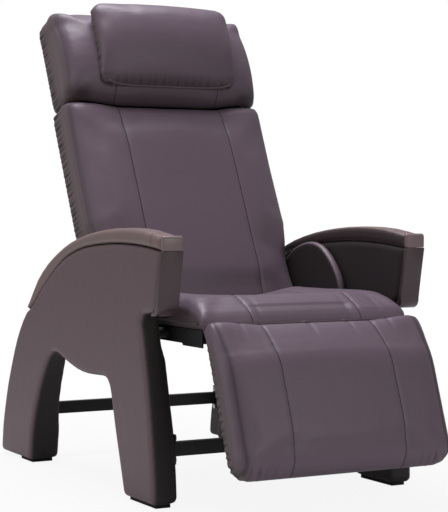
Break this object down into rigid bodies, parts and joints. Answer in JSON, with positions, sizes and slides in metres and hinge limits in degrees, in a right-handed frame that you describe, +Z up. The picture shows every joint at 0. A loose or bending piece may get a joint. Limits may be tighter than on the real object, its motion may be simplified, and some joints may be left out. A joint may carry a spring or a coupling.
{
  "type": "massage chair",
  "caption": "Reclining massage chair with arched padded arms, a roller carriage inside the backrest, a head pillow and a rising legrest",
  "frame": {"origin": "on the floor, in the middle of the chair's length and width", "axes": "+X to the sitter's left, +Y to the rear, +Z up"},
  "size_m": [0.7, 1.25, 1.223],
  "materials": {
    "leatherette": "soft satin",
    "pad_leather": "soft satin",
    "gloss_trim": "gloss",
    "foot_rubber": "matte",
    "black_steel": "satin black paint",
    "bright_steel": "zinc plated",
    "plywood": "raw plywood",
    "black_plastic": "fine grain",
    "red_plastic": "gloss",
    "nut_brass": "machined",
    "white_nylon": "moulded"
  },
  "bodies": {
    "base": {"arm_panel_left": "leatherette", "arm_panel_right": "leatherette", "arm_pad_left": "pad_leather", "arm_pad_right": "pad_leather", "arm_cap_left": "gloss_trim", "arm_cap_right": "gloss_trim", "arm_fascia_left": "gloss_trim", "arm_fascia_right": "gloss_trim", "feet": "foot_rubber", "front_crossbar": "black_steel", "rear_crossbar": "black_steel", "crossbar_screws": "bright_steel", "seat_rail_left": "black_steel", "seat_rail_right": "black_steel", "seat_cross_tubes": "black_steel", "actuator_crossmember": "black_steel", "seat_mount_bolts": "bright_steel", "seat_board": "plywood", "seat_cushion": "leatherette", "seat_side_covers": "black_plastic", "control_box": "black_plastic", "power_inlet": "black_plastic", "knee_pivot_bolts": "bright_steel", "actuator_base_pins": "bright_steel"},
    "switch_rocker": {"power_switch": "red_plastic"},
    "backrest": {"recline_pivot_bolts": "bright_steel", "back_rail_left": "black_steel", "back_rail_right": "black_steel", "back_lever_tube": "black_steel", "back_cross_tubes": "black_steel", "guide_rails": "bright_steel", "back_cover": "black_plastic", "back_cushion": "leatherette", "head_cushion": "leatherette", "head_pillow": "leatherette", "side_wing_left": "leatherette", "side_wing_right": "leatherette", "wing_bolts": "bright_steel", "travel_motor": "black_plastic"},
    "travel_screw": {"lead_screw": "bright_steel"},
    "carriage": {"carriage_frame": "bright_steel", "carriage_shoes": "white_nylon", "screw_nut": "nut_brass", "kneading_motor": "black_plastic"},
    "kneading_axle": {"kneading_shaft": "bright_steel"},
    "kneading_arm_left": {"roller_arm_left": "bright_steel"},
    "kneading_arm_right": {"roller_arm_right": "bright_steel"},
    "upper_left_wheel": {"roller_upper_left": "white_nylon"},
    "lower_left_wheel": {"roller_lower_left": "white_nylon"},
    "upper_right_wheel": {"roller_upper_right": "white_nylon"},
    "lower_right_wheel": {"roller_lower_right": "white_nylon"},
    "legrest": {"legrest_board": "plywood", "legrest_hinges": "black_steel", "legrest_lever": "black_steel", "legrest_cushion": "leatherette", "legrest_cover": "black_plastic"},
    "recline_drive": {"recline_actuator": "black_plastic"},
    "recline_push_rod": {"recline_rod": "bright_steel"},
    "legrest_drive": {"legrest_actuator": "black_plastic"},
    "legrest_push_rod": {"legrest_rod": "bright_steel"}
  },
  "joints": [
    {"name": "recline", "type": "hinge", "parent": "base", "child": "backrest", "pos_m": [0, 0.077, 0.389], "axis": [-1, 0, 0], "range_deg": [0, 45]},
    {"name": "legrest_lift", "type": "hinge", "parent": "base", "child": "legrest", "pos_m": [0, -0.453, 0.408], "axis": [-1, 0, 0], "range_deg": [0, 60]},
    {"name": "recline_drive_swing", "type": "hinge", "parent": "base", "child": "recline_drive", "pos_m": [0.13, -0.152, 0.32039], "axis": [-1, 0, 0], "range_deg": [0, 0.6438]},
    {"name": "recline_stroke", "type": "slide", "parent": "recline_drive", "child": "recline_push_rod", "axis": [0, -0.9994, 0.0344], "range_m": [0, 0.06424]},
    {"name": "legrest_drive_swing", "type": "hinge", "parent": "base", "child": "legrest_drive", "pos_m": [0.04, -0.152, 0.33728], "axis": [1, 0, 0], "range_deg": [0, 1.76]},
    {"name": "legrest_stroke", "type": "slide", "parent": "legrest_drive", "child": "legrest_push_rod", "axis": [0, -0.9997, 0.0236], "range_m": [0, 0.0795]},
    {"name": "carriage_travel", "type": "slide", "parent": "backrest", "child": "carriage", "axis": [0, 0.4384, 0.8988], "range_m": [-0.145, 0.145]},
    {"name": "screw_turn", "type": "hinge", "parent": "backrest", "child": "travel_screw", "pos_m": [0.11, 0.10999, 0.37291], "axis": [0, 0.4384, 0.8988], "continuous": true},
    {"name": "kneading", "type": "hinge", "parent": "carriage", "child": "kneading_axle", "pos_m": [0, 0.22598, 0.65568], "axis": [1, 0, 0], "continuous": true},
    {"name": "kneading_arm_left_sway", "type": "hinge", "parent": "kneading_axle", "child": "kneading_arm_left", "pos_m": [0.0585, 0.22861, 0.66107], "axis": [1, 0, 0], "continuous": true},
    {"name": "kneading_arm_right_sway", "type": "hinge", "parent": "kneading_axle", "child": "kneading_arm_right", "pos_m": [-0.0585, 0.22335, 0.65029], "axis": [1, 0, 0], "continuous": true},
    {"name": "upper_left_wheel_spin", "type": "hinge", "parent": "kneading_arm_left", "child": "upper_left_wheel", "pos_m": [0.075, 0.24865, 0.71583], "axis": [1, 0, 0], "continuous": true},
    {"name": "lower_left_wheel_spin", "type": "hinge", "parent": "kneading_arm_left", "child": "lower_left_wheel", "pos_m": [0.075, 0.19779, 0.61157], "axis": [1, 0, 0], "continuous": true},
    {"name": "upper_right_wheel_spin", "type": "hinge", "parent": "kneading_arm_right", "child": "upper_right_wheel", "pos_m": [-0.075, 0.24338, 0.70505], "axis": [1, 0, 0], "continuous": true},
    {"name": "lower_right_wheel_spin", "type": "hinge", "parent": "kneading_arm_right", "child": "lower_right_wheel", "pos_m": [-0.075, 0.19253, 0.60079], "axis": [1, 0, 0], "continuous": true},
    {"name": "switch_rock", "type": "hinge", "parent": "base", "child": "switch_rocker", "pos_m": [-0.16, -0.202, 0.385], "axis": [-1, 0, 0], "range_deg": [0, 16]}
  ],
  "couplings": [
    {"joint": "recline_drive_swing", "follows": "recline", "ratio": 0.014308},
    {"joint": "recline_stroke", "follows": "recline", "m_per_rad": 0.081793},
    {"joint": "legrest_drive_swing", "follows": "legrest_lift", "ratio": 0.029318},
    {"joint": "legrest_stroke", "follows": "legrest_lift", "m_per_rad": 0.075916},
    {"joint": "screw_turn", "follows": "carriage_travel", "rad_per_m": 785.4},
    {"joint": "kneading_arm_left_sway", "follows": "kneading", "ratio": -1},
    {"joint": "kneading_arm_right_sway", "follows": "kneading", "ratio": -1}
  ]
}
